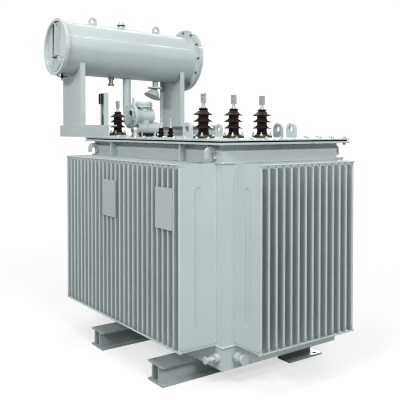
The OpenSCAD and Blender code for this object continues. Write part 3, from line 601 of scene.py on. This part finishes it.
def relay_trim():
    """Test pin by the relay's neck, dark seal, a black block filling the gap under the barrel as painted
    shade, a pale plug on the cover, and the sight glass.
    """
    pin_profile = [(0.011, 0), (0.011, 0.02), (0.008, 0.021), (0.008, 0.082), (0.006, 0.085)]
    seal_ring, flange_t = [(0.0595, 0), (0.0606, 0.0004), (0.0606, 0.0026), (0.0595, 0.003)], 0.0165
    barrel_r, barrel_rise, barrel_l, rim_t, shade_pad_w = 0.040, 0.062, 0.178, 0.012, 0.04
    barrel_past_neck = 0.12
    plug_flange_t, plug_bolts, plug_flats = 0.009, 0.0265, 0.007
    plug_profile = [(0.031, 0), (0.031, plug_flange_t), (0.022, 0.011), (0.022, 0.032), (0.029, 0.036),
                    (0.029, 0.056), (0.024, 0.063), (0.012, 0.068), (0.002, 0.069)]
    glass_profile, floor_in = [(0.0218, 0), (0.0218, 0.0165), (0.0205, 0.0175)], 0.003
    cover_lo, cover_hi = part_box("relay_cover")
    _, body_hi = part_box("relay_body")
    x, z = (cover_lo.x + cover_hi.x) / 2, (cover_lo.z + cover_hi.z) / 2
    pin = Batch()
    pin.add(*turned(pin_profile, 14), Matrix.Translation((x - 0.02, cover_hi.y + 0.02, z + 0.044)))
    pin.piece("relay_pin", "paint", "paint")
    seal_and_shade_pad = Batch()
    neck = Vector((x, cover_hi.y + RELAY_L * NECK_SHARE, body_hi.z - flange_t))
    seal_and_shade_pad.add(*turned(seal_ring, 48), Matrix.Translation(neck))
    # The black block under the barrel is painted shade, filling the shadowed gap down to the lid
    shade_pad = (shade_pad_w, barrel_l - 2 * rim_t, barrel_rise - barrel_r)
    seal_and_shade_pad.add(*block(shade_pad), Matrix.Translation((x, neck.y + barrel_l * barrel_past_neck, LID_TOP)))
    seal_and_shade_pad.piece("relay_seal_and_shade_pad", "gasket", "gasket")
    plug = Batch()
    foot = Vector((x + 0.068, cover_hi.y - 0.017, LID_TOP))
    plug.add(*turned(plug_profile, 32), Matrix.Translation(foot))
    for n, p in enumerate(ring_points(foot + UP * plug_flange_t, UP, plug_bolts, 4, math.pi / 4)):
        add_bolt(plug, p, UP, plug_flats, 0.0, n * 0.5)
    plug.piece("cover_plug", "zinc", "tinned")
    sight = Batch()
    radius = (cover_hi.x - cover_lo.x) / 2
    glass = Vector((x + radius * 0.33, cover_hi.y - floor_in, z + radius * 0.16))
    sight.add(*turned(glass_profile, 40), standing(glass, -Y_AXIS))
    sight.piece("relay_glass", "clip", "clip")


def instrument_trim():
    """Black block and dark stem in the small bracket's channel, put there as painted shade for the channel's
    shadowed inside.
    """
    lo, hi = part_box("instrument_bracket")
    clip_lo, clip_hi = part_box("instrument_clip")
    x = (lo.x + hi.x) / 2
    head_w, head_d, head_h = hi.x - lo.x - 0.009, 0.022, clip_hi.z - clip_lo.z
    proud, stem_r = 0.001, 0.016
    # The black block across the channel's mouth is painted shade
    head = Batch()
    head.add(*block((head_w, head_d, head_h)), Matrix.Translation((x, lo.y + head_d / 2 - proud, clip_lo.z)))
    head.piece("channel_shade_block", "clip", "clip")
    # The dark stem down the channel is painted shade
    stem = Batch()
    stem.add(*turned([(stem_r, 0), (stem_r, clip_lo.z - lo.z)], 24),
             Matrix.Translation((x, lo.y + stem_r, lo.z)))
    stem.piece("channel_shade_stem", "dark_zinc", "tinned", smooth=True)


# Stage

def build_floor():
    """Pale floor with a soft shadow that fades to white away from the object; dimmer to bounced light."""
    size, keep, fade, near, bounce = 60.0, 1.0, 4.0, 0.62, 0.42
    mesh = bpy.data.meshes.new("floor")
    s = size / 2
    mesh.from_pydata([(-s, -s, 0), (s, -s, 0), (s, s, 0), (-s, s, 0)], [], [(0, 1, 2, 3)])
    floor = bpy.data.objects.new("floor", mesh)
    bpy.context.scene.collection.objects.link(floor)
    mat = new_material("floor_white", (0.92, 0.92, 0.92), 0.9)
    set_shine(mat, 0.0)
    white = add_node(mat, "ShaderNodeEmission", Strength=1.0)
    dim = add_node(mat, "ShaderNodeBsdfDiffuse")
    dim.inputs["Color"].default_value = (bounce, bounce, bounce, 1)
    place = add_node(mat, "ShaderNodeTexCoord")
    length = add_node(mat, "ShaderNodeVectorMath", operation="LENGTH")
    away = add_node(mat, "ShaderNodeMapRange")
    away.inputs["From Min"].default_value = keep
    away.inputs["From Max"].default_value = fade
    away.inputs["To Min"].default_value = near
    path = add_node(mat, "ShaderNodeLightPath")
    seen = add_node(mat, "ShaderNodeMixShader")
    pick = add_node(mat, "ShaderNodeMixShader")
    link(mat, place, "Object", length, "Vector")
    link(mat, length, "Value", away, "Value")
    link(mat, away, "Result", seen, 0)
    link(mat, shader_of(mat), "BSDF", seen, 1)
    link(mat, white, "Emission", seen, 2)
    link(mat, path, "Is Camera Ray", pick, 0)
    link(mat, dim, "BSDF", pick, 1)
    link(mat, seen, "Shader", pick, 2)
    link(mat, pick, "Shader", mat.node_tree.nodes["Material Output"], "Surface")
    mesh.materials.append(mat)


def build_world():
    """White for camera, glossy and transmission rays; a softer even light for the rest."""
    fill = 0.22
    world = bpy.data.worlds.new("studio")
    bpy.context.scene.world = world
    world.use_nodes = True
    tree = world.node_tree
    back = tree.nodes["Background"]
    back.inputs["Color"].default_value = (1, 1, 1, 1)
    path = tree.nodes.new("ShaderNodeLightPath")
    seen = tree.nodes.new("ShaderNodeMath")
    seen.operation = "MAXIMUM"
    seen_all = tree.nodes.new("ShaderNodeMath")
    seen_all.operation = "MAXIMUM"
    level = tree.nodes.new("ShaderNodeMapRange")
    level.inputs["To Min"].default_value = fill
    level.inputs["To Max"].default_value = 1.0
    tree.links.new(path.outputs["Is Camera Ray"], seen.inputs[0])
    tree.links.new(path.outputs["Is Glossy Ray"], seen.inputs[1])
    tree.links.new(seen.outputs[0], seen_all.inputs[0])
    tree.links.new(path.outputs["Is Transmission Ray"], seen_all.inputs[1])
    tree.links.new(seen_all.outputs[0], level.inputs["Value"])
    tree.links.new(level.outputs["Result"], back.inputs["Strength"])


def add_lamp(name, place, aim, size, watts, length=None):
    """A round lamp, or a level strip where a length is given."""
    data = bpy.data.lights.new(name, "AREA")
    data.shape = "RECTANGLE" if length else "DISK"
    data.size = length or size
    data.size_y = size
    data.energy = watts
    lamp = bpy.data.objects.new(name, data)
    lamp.location = place
    lamp.rotation_euler = (Vector(aim) - Vector(place)).to_track_quat("-Z", "Y").to_euler()
    bpy.context.scene.collection.objects.link(lamp)


def build_lights():
    """Key lamps on the two sides that show, one overhead, one behind, and two thin strips over the drum."""
    aim = (0, 0, 1.0)
    strip_y, strip_w, strip_l, strip_watts = 1.7, 0.03, 2.8, 10
    drum_line = (-1.058, strip_y, 1.881)
    add_lamp("top", (0.6, -1.6, 6.4), aim, 2.0, 110)
    add_lamp("front", (2.0, -5.8, 4.4), aim, 0.5, 330, 3.0)
    add_lamp("side", (5.9, -0.9, 4.4), aim, 0.5, 325, 3.0)
    add_lamp("back", (-4.4, 5.2, 3.4), aim, 1.6, 230)
    add_lamp("strip_near", (0.96, strip_y, 4.10), drum_line, strip_w, strip_watts, strip_l)
    add_lamp("strip_far", (-2.72, strip_y, 4.38), drum_line, strip_w, strip_watts, strip_l)


def build_camera():
    """The photograph's view: nearly level, with the lens shifted so that uprights stay upright."""
    down, turn = 1.32, 54.33
    data = bpy.data.cameras.new("photo_camera")
    data.sensor_width = 36.0
    data.lens = 56.58
    data.shift_y = -0.139
    camera = bpy.data.objects.new("photo_camera", data)
    camera.location = (3.098, -2.2078, 1.3167)
    camera.rotation_euler = (math.radians(90 - down), 0, math.radians(turn))
    bpy.context.scene.collection.objects.link(camera)
    bpy.context.scene.camera = camera


dress_frame()
rim_bolts()
conservator_bolts()
clamp_bolts()
relay_bolts()
small_hardware()
weld_beads()
gauge_trim()
drum_trim()
relay_trim()
instrument_trim()
build_floor()
build_world()
build_lights()
build_camera()
bpy.context.scene.view_settings.view_transform = "Standard"
bpy.context.scene.cycles.filter_width = 1.1
